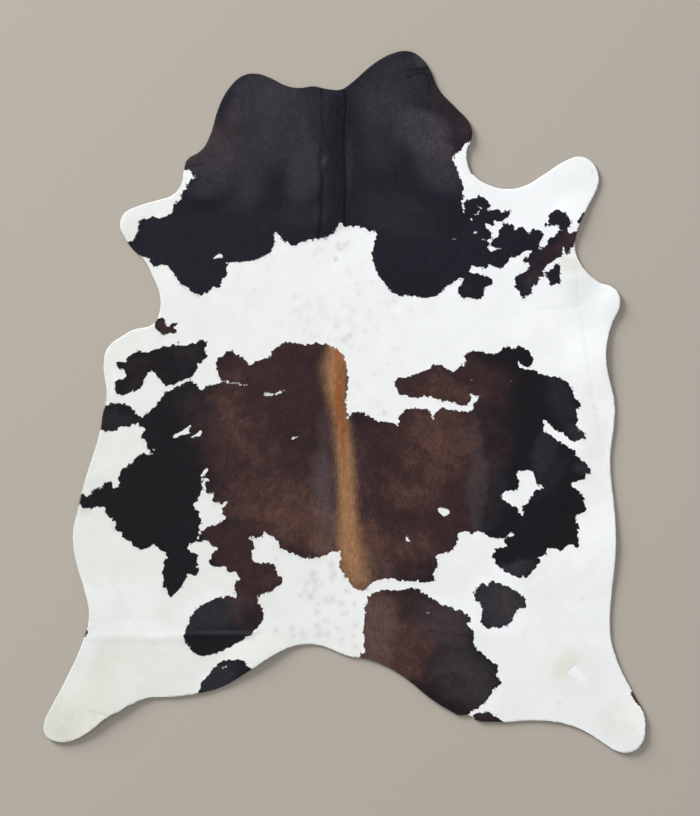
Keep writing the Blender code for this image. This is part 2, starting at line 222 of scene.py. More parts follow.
# Soft patches of tint, of painted sheen and of painted shade in the coat, as leaning ovals.
# Columns: right, down, reach along its own length, reach across it (pixels), lean (degrees), strength.
softPatches = {
    "brown": (
        (275, 450, 150, 98, 90, 1.00), (250, 568, 46, 46, 0, 1.00), (412, 480, 145, 92, 90, 1.00),
        (446, 380, 84, 44, 2, 0.90), (490, 425, 74, 36, 90, 0.45), (142, 374, 42, 28, 10, 0.30),
        (285, 368, 80, 44, 0, 1.00), (205, 420, 60, 26, 90, 0.35), (335, 540, 54, 44, 0, 1.00),
        (230, 550, 34, 20, 0, 0.85), (218, 537, 28, 20, 0, 0.90), (383, 640, 78, 62, 90, 1.00),
        (440, 620, 50, 36, 40, 0.50), (440, 660, 60, 44, 60, 0.28), (470, 692, 56, 44, -40, 0.34),
        (508, 600, 30, 24, 0, 0.22), (252, 612, 46, 30, 90, 0.50), (214, 132, 60, 30, 60, 0.20),
        (235, 140, 44, 28, 60, 0.32), (193, 165, 24, 16, 0, 0.15), (430, 140, 44, 26, -40, 0.16),
        (190, 350, 40, 16, 0, 0.30), (452, 112, 52, 30, -55, 0.42), (460, 150, 22, 12, 0, 0.40),
        (122, 226, 22, 18, 0, 0.30), (474, 288, 30, 20, 0, 0.20), (568, 240, 30, 20, 45, 0.70),
        (537, 266, 42, 24, 50, 0.44), (165, 328, 22, 16, 0, 0.90), (640, 702, 20, 20, 0, 0.90),
        (87, 630, 14, 14, 0, 0.90), (566, 530, 40, 34, 90, 0.20), (490, 720, 26, 12, 0, 0.20),
        (395, 78, 60, 36, 35, 0.20)),
    "warm": (
        (226, 436, 66, 30, -75, 0.30), (258, 447, 50, 30, -15, 0.45), (272, 500, 80, 44, 5, 0.62),
        (302, 528, 48, 32, 0, 0.65), (226, 398, 40, 30, 90, 0.40), (250, 370, 40, 22, 0, 0.25),
        (245, 412, 40, 28, 0, 0.25), (316, 425, 34, 18, 0, 0.25), (445, 428, 58, 34, -20, 0.65),
        (436, 456, 66, 34, -30, 0.50), (470, 425, 38, 26, 90, 0.25), (412, 500, 50, 22, -25, 0.45),
        (424, 550, 44, 24, -10, 0.25), (368, 560, 60, 28, 90, 0.85), (375, 562, 28, 18, 0, 0.60),
        (362, 500, 90, 16, 90, 0.35), (450, 388, 50, 20, -8, 0.55), (412, 482, 44, 30, -20, 0.35),
        (372, 632, 66, 32, 90, 0.80), (402, 650, 56, 44, -40, 0.62), (372, 598, 30, 16, 0, 0.60),
        (270, 580, 24, 14, 10, 0.35), (573, 240, 14, 10, 60, 0.30), (164, 326, 14, 10, 0, 0.10),
        (640, 700, 16, 16, 0, 0.80), (205, 148, 46, 30, 60, 0.10), (456, 147, 22, 10, 10, 0.15),
        (324, 530, 36, 26, 90, 0.90), (395, 545, 60, 36, -10, 0.45), (385, 625, 44, 30, 60, 0.40)),
    # painted sheen: greyer, lighter dark hair where light glances off it, whiter white hair, and the fold's
    # bright line
    "paintedSheen": (
        (322, 486, 50, 16, 90, 0.80), (328, 430, 42, 12, 90, 0.30), (330, 528, 36, 18, 90, 0.40),
        (476, 491, 60, 12, 87, 0.48), (474, 436, 36, 11, 90, 0.25), (357, 458, 60, 9, 90, 0.10),
        (541, 452, 34, 14, 75, 0.36), (562, 400, 34, 20, -60, 0.25), (512, 567, 28, 12, 5, 0.50),
        (584, 466, 14, 12, 0, 0.40), (575, 434, 18, 10, -40, 0.45), (482, 524, 16, 10, 0, 0.20),
        (373, 568, 36, 20, 10, 0.15), (370, 616, 34, 9, 90, 0.35), (372, 562, 20, 12, 90, 0.20),
        (349, 560, 14, 9, 70, 0.30), (495, 490, 42, 20, 90, 0.20), (444, 620, 50, 30, -20, 0.45),
        (466, 676, 52, 34, -50, 0.46), (378, 630, 50, 26, 90, 0.40), (500, 604, 44, 34, -30, 0.65),
        (214, 180, 28, 22, 20, 0.48), (421, 130, 44, 28, -35, 0.80), (438, 161, 42, 30, -50, 0.62),
        (304, 172, 44, 24, 80, 0.55), (286, 118, 66, 40, 90, 0.55), (250, 96, 44, 26, 50, 0.50),
        (396, 84, 56, 40, 35, 0.30), (385, 125, 60, 34, 90, 0.25), (215, 152, 24, 20, 20, 0.38),
        (350, 160, 40, 5, 90, 0.30), (242, 165, 60, 40, 90, 0.36), (193, 165, 24, 16, 0, 0.50),
        (205, 136, 30, 20, 60, 0.50), (212, 610, 50, 26, 10, 0.40), (420, 60, 12, 8, -40, 0.60),
        (190, 356, 26, 16, 70, 0.10), (222, 632, 44, 3, 0, 0.80), (300, 215, 40, 16, 0, 0.15),
        (400, 215, 60, 30, -20, 0.15), (186, 402, 34, 14, 90, 0.10), (218, 682, 34, 20, 40, 0.40),
        (112, 418, 26, 18, 0, 0.20), (550, 478, 36, 20, 60, 0.15), (529, 284, 20, 14, 50, 0.22),
        (325, 158, 10, 3, 80, 0.60), (120, 606, 60, 36, 0, 0.36), (140, 627, 60, 12, 0, 0.50),
        (80, 662, 54, 18, 60, 0.70), (325, 600, 60, 50, 0, 0.22)),
    # darker hair, and painted shade: under folds and bulges, along the nape's creases, at the crown's edge
    "deepAndShade": (
        (204, 205, 30, 10, 0, 0.90), (230, 197, 15, 9, 55, 0.60), (226, 187, 24, 14, 65, 0.55),
        (211, 197, 18, 9, 20, 0.60), (334, 130, 70, 15, 90, 0.40), (322, 192, 46, 5, 88, 0.60),
        (224, 643, 46, 11, 0, 0.75), (298, 432, 34, 28, 0, 0.40), (316, 372, 26, 12, 90, 0.20),
        (254, 483, 16, 10, 0, 0.50), (449, 680, 20, 14, 0, 0.55), (368, 412, 34, 16, -10, 0.30),
        (402, 522, 18, 14, 0, 0.30), (412, 612, 26, 16, 0, 0.50), (568, 526, 50, 34, 90, 0.30),
        (442, 218, 52, 28, 0, 0.15), (454, 139, 14, 4, 5, 0.60), (431, 84, 12, 5, 90, 0.40),
        (150, 500, 80, 60, 60, 0.25), (540, 420, 60, 30, 90, 0.20), (160, 366, 20, 14, 20, 0.30)),
    "rust": (
        (338, 362, 28, 8, 88, 0.60), (338, 388, 26, 5, 86, 1.00), (340, 410, 24, 5, 86, 1.00),
        (342.5, 434, 28, 3.5, 89, 1.00), (344.3, 462, 24, 2, 89, 0.60), (338, 392, 20, 7, 86, 0.50)),
    "stain": (
        (571, 262, 16, 12, 0, 0.45), (590, 450, 18, 90, 0, 0.15), (565, 663, 20, 14, 40, 0.34),
        (576, 672, 46, 40, 0, 0.14), (618, 722, 34, 26, 0, 0.26), (80, 700, 60, 50, 50, 0.25),
        (130, 660, 60, 26, 0, 0.12)),
    # painted shade: patches that dim the white hair, laid in the freckles' grey
    "shadedWhite": (
        (592, 300, 50, 62, 0, 0.25), (582, 290, 26, 24, 0, 0.22), (590, 420, 24, 60, 0, 0.20),
        (585, 185, 50, 40, 50, 0.20), (75, 690, 70, 44, 50, 0.40), (104, 470, 30, 60, 30, 0.12),
        (622, 735, 30, 24, 0, 0.30)),
    "shaggy": (
        (333, 155, 90, 15, 90, 0.90), (84, 506, 12, 10, 0, 1.00), (330, 232, 22, 12, 0, 0.60),
        (96, 490, 30, 14, 30, 1.00), (122, 404, 28, 10, -15, 0.70), (178, 382, 30, 12, 20, 0.40)),
}

# The tan stripe on the spine. Columns: right, down, reach to its left, reach to its right (pixels), strength.
spineStripe = (
    (338, 336, 18, 24, 1.00), (338, 350, 24, 24, 1.00), (337, 366, 32, 24, 1.00), (337, 385, 26, 20, 1.00),
    (339, 405, 22, 18, 0.90), (342, 425, 20, 18, 0.85), (344, 450, 19, 20, 0.95), (346, 480, 19, 20, 1.00),
    (347, 510, 20, 20, 1.00), (349, 540, 24, 24, 1.00), (351, 560, 31, 34, 0.92), (355, 578, 32, 36, 0.82),
    (358, 594, 30, 30, 0.40))

# Grey freckles in the white, and small dark specks. Each kind has its strength and its places.
# Columns: right, down, reach (pixels).
freckles = {
    "faint, on the back": (0.42, (
        (239, 274, 4), (252, 273, 3), (268, 266, 5), (256, 289, 4), (249, 294, 3), (251, 304, 4),
        (282, 325, 4), (315, 253, 5), (321, 249, 5), (347, 269, 5), (351, 272, 4), (357, 282, 4),
        (348, 284, 3), (360, 292, 6), (372, 281, 5), (363, 262, 4), (296, 296, 5), (303, 294, 3),
        (321, 297, 5), (306, 304, 4), (311, 304, 4), (320, 305, 5), (325, 305, 4), (294, 310, 4),
        (300, 311, 4), (320, 311, 4), (326, 316, 5), (308, 320, 5), (346, 304, 5), (353, 309, 5),
        (338, 320, 5), (349, 320, 5), (354, 326, 6), (365, 329, 5), (376, 327, 4), (370, 318, 4),
        (369, 310, 5), (378, 302, 4), (394, 300, 5), (388, 304, 3), (393, 317, 5), (409, 308, 5),
        (395, 348, 5), (313, 336, 5), (304, 329, 3), (304, 340, 4), (336, 340, 5), (329, 339, 4),
        (358, 350, 5), (351, 346, 4), (375, 373, 5), (359, 386, 5), (386, 364, 4), (377, 402, 4),
        (277, 557, 4), (582, 598, 4))),
    "plainer, by the tail": (0.62, (
        (338, 244, 5), (346, 243, 5), (342, 247, 4), (337, 326, 4), (350, 335, 5), (345, 340, 5),
        (384, 412, 3), (314, 574, 7), (315, 580, 5), (331, 564, 6), (333, 575, 7), (308, 583, 6),
        (322, 583, 4), (344, 577, 4), (305, 590, 4), (316, 588, 5), (301, 596, 4), (311, 596, 7),
        (331, 599, 6), (325, 600, 4), (346, 590, 5), (318, 603, 5), (342, 604, 5), (354, 603, 5),
        (318, 611, 5), (343, 612, 4), (347, 612, 4), (325, 620, 5), (318, 625, 5), (355, 624, 5),
        (339, 629, 5), (275, 630, 4), (293, 628, 4), (294, 634, 5), (303, 634, 6), (320, 633, 6),
        (327, 633, 5), (353, 634, 3), (341, 640, 5), (356, 646, 5), (560, 703, 3))),
    "specks": (1.00, (
        (336.4, 258, 3), (592, 171, 2), (592, 181, 2), (594, 407, 2), (621, 731, 2), (57, 706, 2),
        (74, 717, 2), (62, 727, 2))),
}

# Creases, given one by one. Each has its line (right, down), its half width and height in metres, and how far
# it darkens the hair.
# the last column is how much painted shade the crease lays on the hair
creases = {
    "nape, right": (
        ((345, 84), (347, 104), (345, 124), (344, 148), (346, 166), (347, 186), (345, 205), (345, 224)),
        0.007, -0.0012, 0.2),
    "nape, right, top": (((345, 87), (346, 101)), 0.005, -0.0012, 0.9),
    "nape, right, foot": (((345, 192), (345, 224)), 0.005, -0.0014, 0.9),
    "nape, left": (
        ((322, 150), (320, 164), (324, 178), (322, 196), (323, 212), (320, 236)), 0.013, -0.0014, 0.45),
    "nape, left, top": (((323, 90), (324, 135)), 0.012, -0.0010, 0.3),
    "crown": (((407, 70), (418, 70), (431, 67)), 0.005, -0.0010, 0.9),
    "crown, second": (((407, 77), (418, 73), (424, 73), (428, 76)), 0.005, -0.0008, 0.8),
    "crown, third": (((424, 73), (430, 80), (429, 88)), 0.005, -0.0008, 0.7),
    "neck, left corner": (((189, 165), (200, 164)), 0.005, -0.0012, 0.7),
    "neck, left corner, second": (((203, 177), (215, 183)), 0.005, -0.0008, 0.4),
    "packing fold, ridge": (((186, 633), (205, 632), (258, 632)), 0.006, 0.0012, 0.0),
    "packing fold, trough": (((190, 640), (220, 639), (252, 638)), 0.018, -0.0010, 0.2),
    "packing fold, left": (((84, 637), (130, 638), (184, 637)), 0.024, 0.0006, 0.0),
    "right of the tail": (((425, 631), (450, 633), (474, 636)), 0.005, -0.0008, 0.45),
    "left hind leg": (((90, 710), (110, 715)), 0.004, -0.0004, 0.25),
    "left thigh": (((117, 584), (124, 602), (130, 616), (138, 626)), 0.007, -0.0002, 0.04),
    "left thigh, foot": (((138, 626), (149, 637), (157, 647)), 0.003, -0.0003, 0.12),
    "right flank": (
        ((576, 262), (577, 290), (580, 310), (587, 358), (594, 407), (603, 450), (608, 470)),
        0.004, -0.0004, 0.07),
    "right elbow": (((540, 308), (560, 308), (579, 304)), 0.004, -0.0004, 0.08),
    "right elbow, second": (((556, 300), (577, 300)), 0.004, -0.0003, 0.06),
}

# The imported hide's own unevenness, in metres. Columns of the lifts: across, along, reach, height. Of the
# swells: across and along of the neck end and of the tail end, half the width, height.
lifts = (
    (0.191, 1.053, 0.130, 0.003), (0.383, 0.786, 0.110, 0.003), (0.704, 0.540, 0.110, 0.004),
    (0.826, 0.300, 0.110, 0.004), (0.785, 0.132, 0.150, 0.005), (0.815, -0.429, 0.180, 0.003),
    (0.896, -1.000, 0.130, 0.004), (0.250, -0.884, 0.140, 0.003), (-0.247, -0.780, 0.170, 0.005),
    (-0.709, -0.945, 0.190, 0.006), (-0.895, -0.960, 0.120, 0.003), (-0.770, -0.640, 0.130, 0.002),
    (-0.673, 0.528, 0.110, 0.003))
swells = ((-0.033, 0.900, -0.036, 0.560, 0.060, 0.004), (-0.190, 0.880, -0.250, 0.640, 0.090, 0.002))

# One seed for each field of noise. A push across and along takes two in a row.
seeds = {
    "waves": 11, "smallWaves": 12, "swirl": 21, "smallSwirl": 22, "tufts": 31, "smallTufts": 32, "bays": 33,
    "freckleWander": 41, "tintWander": 43, "smallTintWander": 45, "lockTone": 51,
}
noiseCells = 512               # cells on a side before the noise repeats


def bell(distance, reach):
    # 1 in the middle, easing to 0 at the reach
    return 0.5 + 0.5 * np.cos(math.pi * np.minimum(1.0, distance / reach))


def eased(part):
    # from 0 to 1, level at both ends
    return part * part * (3 - 2 * part)


def betweenCorners(values, left, right, low, high, x, y):
    # straight blend of the four corners of each cell
    lower = values[low, left] * (1 - x) + values[low, right] * x
    upper = values[high, left] * (1 - x) + values[high, right] * x
    return lower * (1 - y) + upper * y


def softNoise(place, size, seed):
    # seeded heights from -1 to 1 at the corners of square cells, eased across each cell
    corners = np.random.default_rng(seed).uniform(-1, 1, (noiseCells, noiseCells))
    cell = np.floor(place / size).astype(int)
    x, y = eased(place / size - cell).T
    left, low = (cell % noiseCells).T
    return betweenCorners(corners, left, (left + 1) % noiseCells, low, (low + 1) % noiseCells, x, y)


def softPush(place, size, seed):
    # two such fields, as a push across and a push along
    return np.column_stack([softNoise(place, size, seed), softNoise(place, size, seed + 1)])


def distanceToLine(place, line):
    # shortest distance from each place to a line of straight runs
    nearest = np.full(len(place), np.inf)
    for start, end in zip(line[:-1], line[1:]):
        run = end - start
        part = np.clip((place - start) @ run / (run @ run), 0, 1)
        nearest = np.minimum(nearest, np.linalg.norm(place - start - part[:, None] * run, axis=1))
    return nearest


def alongLean(off, lean):
    # offsets as measured along and across a line that rises to the right by so many degrees
    cosine, sine = math.cos(math.radians(lean)), math.sin(math.radians(lean))
    return off @ np.array(((cosine, -sine), (sine, cosine)))


def smoothOutline(points, runs=5):
    # closed curve through the points: cubics whose lean at a point is no longer than its shorter side
    ahead, behind = np.roll(points, -1, axis=0), np.roll(points, 1, axis=0)
    lean = ahead - behind
    shorter = np.minimum(np.linalg.norm(ahead - points, axis=1), np.linalg.norm(points - behind, axis=1))
    lean *= (shorter / np.maximum(np.linalg.norm(lean, axis=1), 1e-9))[:, None]
    t = (np.arange(runs) / runs)[None, :, None]
    start, end, away, into = (a[:, None] for a in (points, ahead, lean, np.roll(lean, -1, axis=0)))
    curve = ((2 * t**3 - 3 * t**2 + 1) * start + (t**3 - 2 * t**2 + t) * away
             + (3 * t**2 - 2 * t**3) * end + (t**3 - t**2) * into)
    return curve.reshape(-1, 2)


def emptyField(low, high, step):
    # a square grid over the plan, from its low corner, rows along and columns across
    counts = np.ceil((np.asarray(high) - low) / step).astype(int) + 1
    return {"low": np.asarray(low, float), "step": step, "shape": (counts[1], counts[0])}


def fieldLines(field):
    # its columns' places across and its rows' places along: the low corner plus whole steps
    rows, columns = field["shape"]
    return (field["low"][0] + np.arange(columns) * field["step"],
            field["low"][1] + np.arange(rows) * field["step"])


def fieldPoints(field):
    # the plan place of each of its corners, row by row
    return np.stack(np.meshgrid(*fieldLines(field)), axis=-1)


def signedDistance(field, starts, ends, reach, shortestRun=1e-7):
    # distance from each corner of the field to the outline's straight runs, plus inside and minus outside
    across, along = fieldLines(field)
    nearest = np.full(field["shape"], reach)
    inside = np.zeros(field["shape"], bool)
    for (startX, startY), (endX, endY) in zip(starts, ends):
        runX, runY = endX - startX, endY - startY
        square = runX * runX + runY * runY
        if square < shortestRun ** 2:
            continue
        columns = slice(*np.searchsorted(across, (min(startX, endX) - reach, max(startX, endX) + reach)))
        rows = slice(*np.searchsorted(along, (min(startY, endY) - reach, max(startY, endY) + reach)))
        offX, offY = across[None, columns] - startX, along[rows, None] - startY
        part = np.clip((offX * runX + offY * runY) / square, 0, 1)
        near = np.hypot(offX - part * runX, offY - part * runY)
        nearest[rows, columns] = np.minimum(nearest[rows, columns], near)
        crossed = slice(*np.searchsorted(along, sorted((startY, endY))))
        if crossed.stop > crossed.start:
            meets = startX + (along[crossed] - startY) * runX / runY
            inside[crossed] ^= across[None, :] < meets[:, None]
    return np.where(inside, nearest, -nearest)


def sampleField(field, values, place, lastCell=1.001):
    # reads a field between its corners; a place on its far side reads from the last cell
    rows, columns = field["shape"]
    at = np.clip((place - field["low"]) / field["step"], 0, (columns - lastCell, rows - lastCell))
    left, low = np.floor(at).astype(int).T
    x, y = (at - np.floor(at)).T
    return betweenCorners(values, left, left + 1, low, low + 1, x, y)


def outlineOf(node, digits=6, upright=0.7):
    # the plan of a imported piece: the edges that only one of its upward faces has
    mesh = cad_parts[node].data
    places = np.empty(len(mesh.vertices) * 3, np.float32)
    mesh.vertices.foreach_get("co", places)
    places, same = np.unique(np.round(places.reshape(-1, 3), digits), axis=0, return_inverse=True)
    places = places.astype(float)
    mesh.calc_loop_triangles()
    corners = np.empty(len(mesh.loop_triangles) * 3, np.int32)
    mesh.loop_triangles.foreach_get("vertices", corners)
    corners = same.reshape(-1)[corners].reshape(-1, 3)
    faces = places[corners]
    normal = np.cross(faces[:, 1] - faces[:, 0], faces[:, 2] - faces[:, 0])
    upper = corners[normal[:, 2] > upright * np.linalg.norm(normal, axis=1)]
    sides = np.sort(np.concatenate([upper[:, (0, 1)], upper[:, (1, 2)], upper[:, (2, 0)]]), axis=1)
    sides, shared = np.unique(sides, axis=0, return_counts=True)
    runs = places[sides[shared == 1]][:, :, :2]
    return runs[:, 0], runs[:, 1]


# How the markings are measured, and how the hair frays their edges. Metres.
edging = {
    "step": 0.002,             # grid on which the markings are measured
    "margin": 0.05,            # that grid goes past the hide by this
    "markReach": 0.030,        # past this the distance to a marking's edge isn't needed
    "hideReach": 0.060,        # the same for the hide's own edge
    "ragged": 0.0018,          # how far the hair carries a marking's edge to and fro
    "furry": 1.4,              # how much farther it carries it where the coat is shaggy
    "tuft": 0.0065,
    "smallTuft": 0.0031,
    "smallShare": 0.6,
    "bay": 0.012,
    "stray": 0.0005,           # by how much one lock's colour runs past its neighbour's
    "cleanReach": 0.008,       # round the small white marks the edge is cleaner
    "cleanEdge": 0.25,         # share of the raggedness left there
    "plainHair": -0.020,       # the patch lies this far outside any dark marking
}
markField = emptyField(np.array(cadBox[0])[:2] - edging["margin"], np.array(cadBox[1])[:2] + edging["margin"],
                       edging["step"])
hideStarts, hideEnds = outlineOf("hide")
edgeField = signedDistance(markField, hideStarts, hideEnds, edging["hideReach"])


def markingDistance(markings):
    # distance inside the nearest of a table's outlines
    nearest = np.full(markField["shape"], -edging["markReach"])
    for rows in markings.values():
        outline = smoothOutline(fromPhoto(rows))
        inside = signedDistance(markField, outline, np.roll(outline, -1, axis=0), edging["markReach"])
        nearest = np.maximum(nearest, inside)
    return nearest


def dotDistance(rows):
    # roughly the distance inside the nearest of a table's leaning ovals
    places = fieldPoints(markField)
    nearest = np.full(markField["shape"], -edging["markReach"])
    for right, down, length, width, lean in rows:
        off = alongLean(places - fromPhoto((right, down)), lean)
        share = np.linalg.norm(off / (length * photo["pixel"], width * photo["pixel"]), axis=-1)
        nearest = np.maximum(nearest, (1 - share) * width * photo["pixel"])
    return nearest


fleckField = np.maximum(markingDistance(whiteFlecks), dotDistance(whiteDots))
darkField = np.minimum(markingDistance(darkMarkings), -np.maximum(markingDistance(whiteMarkings), fleckField))
frayField = np.clip(-fleckField / edging["cleanReach"], 0, 1)
frayField = edging["cleanEdge"] + (1 - edging["cleanEdge"]) * frayField
print("markings measured:", len(darkMarkings), "dark,", len(whiteMarkings) + len(whiteFlecks), "white")

# Soft patches, freckles, and the painted shade on the white hair and in the creases. Sizes in metres.
tinting = {
    "wanderSize": 0.07,
    "smallWanderSize": 0.02,
    "smallWander": 0.4,        # share of the small wander in the whole
    "wander": 0.016,           # how far a wide tint's edge wanders
    "wanderShare": 0.35,       # and a narrow one's, as a share of its own half width
    "rim": 0.6,                # share of a patch's reach over which it eases out
    "freckleSize": 0.009,
    "freckleWander": 0.006,
    "freckleSpread": 1.3,      # a freckle fades out at its reach times this
    "creaseSpread": 1.2,       # the same for a crease's painted shade
}


def softPatch(place, name):
    # union of soft ovals, full inside and easing out to their reach; a wide oval's edge wanders more
    wander = softPush(place, tinting["wanderSize"], seeds["tintWander"])
    wander += tinting["smallWander"] * softPush(place, tinting["smallWanderSize"], seeds["smallTintWander"])
    strength = np.zeros(len(place))
    for right, down, length, width, lean, most in softPatches[name]:
        loose = min(tinting["wander"], tinting["wanderShare"] * width * photo["pixel"])
        off = alongLean(place + wander * loose - fromPhoto((right, down)), lean) / photo["pixel"]
        near = np.clip((1 - np.linalg.norm(off / (length, width), axis=1)) / tinting["rim"], 0, 1)
        strength = 1 - (1 - strength) * (1 - most * eased(near))
    return strength


def stripeStrength(place):
    # full on its course, easing off to its reach on either side
    rows = np.array(spineStripe, float)[::-1]
    along = fromPhoto(rows[:, :2])[:, 1]
    middle, left, right = (np.interp(place[:, 1], along, column * photo["pixel"])
                           for column in (rows[:, 0] - photo["middle"][0], rows[:, 2], rows[:, 3]))
    most = np.interp(place[:, 1], along, rows[:, 4], left=0, right=0)
    off = place[:, 0] - middle
    return most * bell(np.abs(off), np.where(off < 0, left, right))


def freckleAndShadeStrength(place):
    # a bell for each freckle, off its place by a small wander, over the patches of painted shade that dim the
    # white hair
    strength = softPatch(place, "shadedWhite")
    wander = softPush(place, tinting["freckleSize"], seeds["freckleWander"]) * tinting["freckleWander"]
    for most, rows in freckles.values():
        for right, down, reach in rows:
            off = np.linalg.norm(place + wander - fromPhoto((right, down)), axis=1)
            near = bell(off, reach * photo["pixel"] * tinting["freckleSpread"])
            strength = np.maximum(strength, most * near)
    return strength


def creaseShade(place):
    # painted shade: a bell across each crease's line, the darkest of them where they cross
    shade = np.zeros(len(place))
    for line, halfWidth, lift, shadeStrength in creases.values():
        near = bell(distanceToLine(place, fromPhoto(line)), tinting["creaseSpread"] * halfWidth)
        shade = np.maximum(shade, shadeStrength * near)
    return shade


# The lie of the hair. Metres and degrees.
lie = {
    "neckStart": 0.60,         # along: from here on the hair takes the neck's lie
    "neckBlend": 0.25,
    "bodyLean": 60.0,          # how far it turns out from the spine, and within what reach
    "bodyReach": 0.36,
    "neckLean": 38.0,          # how far it turns in on the neck
    "neckReach": 0.20,
    "swirlLean": 14.0,
    "swirl": 0.11,
    "smallSwirlLean": 9.0,
    "smallSwirl": 0.024,
}


def hairFlow(place):
    # the hair runs back from the neck and out from the spine, with slow swirls
    neck = np.clip((place[:, 1] - lie["neckStart"]) / lie["neckBlend"], 0, 1)
    lean = math.radians(lie["bodyLean"]) * np.tanh(place[:, 0] / lie["bodyReach"]) * (1 - neck)
    lean -= math.radians(lie["neckLean"]) * np.tanh(place[:, 0] / lie["neckReach"]) * neck
    lean += (math.radians(lie["swirlLean"]) * softNoise(place, lie["swirl"], seeds["swirl"])
             + math.radians(lie["smallSwirlLean"]) * softNoise(place, lie["smallSwirl"], seeds["smallSwirl"]))
    return np.column_stack([np.sin(lean), -np.cos(lean)])


def besideFlow(flow):
    # the flow turned a quarter clockwise, seen from above
    return np.column_stack([flow[:, 1], -flow[:, 0]])


def darkDistance(place):
    # distance inside the dark markings; tufts carry the edge to and fro along the hair, and bays across it
    flow = hairFlow(place)
    tufts = softNoise(place, edging["tuft"], seeds["tufts"])
    tufts = tufts + edging["smallShare"] * softNoise(place, edging["smallTuft"], seeds["smallTufts"])
    bays = softNoise(place, edging["bay"], seeds["bays"])
    fray = edging["ragged"] * (1 + edging["furry"] * softPatch(place, "shaggy"))
    fray = fray * sampleField(markField, frayField, place)
    carried = fray[:, None] * (tufts[:, None] * flow + bays[:, None] * besideFlow(flow))
    return sampleField(markField, darkField, place + carried)


def coatFacts(place):
    # what the hair material reads at each root

    def patches(*names):
        # one strength for each kind of soft patch
        return [softPatch(place, name) for name in names]

    return {
        "dark": darkDistance(place),
        "fray": sampleField(markField, frayField, place),
        "tints": np.column_stack([stripeStrength(place), *patches("brown", "warm")]),
        # painted sheen; darker hair with painted shade; rust of the stripe
        "tones": np.column_stack(patches("paintedSheen", "deepAndShade", "rust")),
        # freckles with painted shade on the white; stains; painted shade in the creases and on the cut edge
        "marks": np.column_stack([freckleAndShadeStrength(place), *patches("stain"), creaseShade(place)]),
    }


def addMesh(name, places, loops, counts, facts, material, bakeMap=True, smooth=True, mapMargin=0.06):
    # one mesh from arrays: corner numbers in a row, how many belong to each face, and a value for each point
    mesh = bpy.data.meshes.new(name)
    mesh.vertices.add(len(places))
    mesh.vertices.foreach_set("co", np.ascontiguousarray(places, np.float32).ravel())
    mesh.loops.add(len(loops))
    mesh.loops.foreach_set("vertex_index", np.ascontiguousarray(loops, np.int32))
    mesh.polygons.add(len(counts))
    starts = np.concatenate([[0], np.cumsum(counts)[:-1]])
    mesh.polygons.foreach_set("loop_start", starts.astype(np.int32))
    mesh.polygons.foreach_set("loop_total", np.asarray(counts, np.int32))
    mesh.polygons.foreach_set("use_smooth", np.full(len(counts), smooth))
    mesh.update(calc_edges=True)
    for fact, values in facts.items():
        kind, field = ("FLOAT_VECTOR", "vector") if np.ndim(values) == 2 else ("FLOAT", "value")
        layer = mesh.attributes.new(fact, kind, "POINT")
        layer.data.foreach_set(field, np.ascontiguousarray(values, np.float32).ravel())
    if bakeMap:
        low, high = np.array(cadBox[0]), np.array(cadBox[1])
        wide = (high - low)[:2].max() + mapMargin
        flat = (places[:, :2] - (low + high)[:2] / 2) / wide + 0.5
        mesh.uv_layers.new(name="OFBake").data.foreach_set("uv", flat[loops].astype(np.float32).ravel())
    mesh.materials.append(material)
    mesh.validate()
    piece = bpy.data.objects.new(name, mesh)
    bpy.context.scene.collection.objects.link(piece)
    return piece


def cutSheet(field, depth):
    # square cells kept where depth is above 0, and cut straight across where its sign changes
    kept = depth > 0
    grid = fieldPoints(field)
    cornerId = np.where(kept, np.cumsum(kept).reshape(kept.shape) - 1, -1)
    total = kept.sum()

    def crossings(first, second, gridFirst, gridSecond, offset):
        # where the sign changes from one corner to its neighbour, numbered on from the offset
        cut = (first > 0) != (second > 0)
        part = first[cut] / (first[cut] - second[cut])
        at = gridFirst[cut] + (gridSecond[cut] - gridFirst[cut]) * part[:, None]
        return np.where(cut, np.cumsum(cut).reshape(cut.shape) - 1 + offset, -1), at

    level, levelAt = crossings(depth[:, :-1], depth[:, 1:], grid[:, :-1], grid[:, 1:], total)
    upright, uprightAt = crossings(depth[:-1], depth[1:], grid[:-1], grid[1:], total + len(levelAt))
    # round each cell: a corner, the crossing after it, the next corner, and so on
    slots = (cornerId[:-1, :-1], level[:-1], cornerId[:-1, 1:], upright[:, 1:],
             cornerId[1:, 1:], level[1:], cornerId[1:, :-1], upright[:, :-1])
    slots = np.stack(slots, axis=-1).reshape(-1, 8)
    slots = slots[(slots >= 0).any(axis=1)]
    # the rim: where each cell's outline leaves what is kept, and where it comes back
    rim = []
    for corner in range(4):
        leaves = (slots[:, 2 * corner] >= 0) & (slots[:, (2 * corner + 2) % 8] < 0)
        later = [slots[leaves, (2 * corner + 1 + 2 * k) % 8] for k in (1, 2, 3)]
        enters = np.where(later[0] >= 0, later[0], np.where(later[1] >= 0, later[1], later[2]))
        rim.append(np.column_stack([slots[leaves, 2 * corner + 1], enters]))
    return {
        "place": np.concatenate([grid[kept], levelAt, uprightAt]),
        "loops": slots[slots >= 0],
        "counts": (slots >= 0).sum(axis=1),
        "rim": np.concatenate(rim),
        "rimFirst": total,
    }


def cutInside(field, values, step, inset):
    # a sheet on a grid of its own step, cut at a distance inside the outline
    high = field["low"] + (np.array(field["shape"])[::-1] - 1) * field["step"]
    grid = emptyField(field["low"], high, step)
    depth = sampleField(field, values, fieldPoints(grid).reshape(-1, 2)).reshape(grid["shape"])
    return cutSheet(grid, depth - inset)


def outwards(field, values, place, probe=0.002):
    # the direction in which the outline is left, on the plan
    push = [sampleField(field, values, place - axis) - sampleField(field, values, place + axis)
            for axis in ((probe, 0), (0, probe))]
    push = np.column_stack(push)
    return push / np.maximum(np.linalg.norm(push, axis=1), 1e-9)[:, None]


leather = {
    "thickness": 0.0026,       # of the tanned skin
    "step": 0.016,
    "inset": 0.0012,           # the leather ends this far inside the hair
}

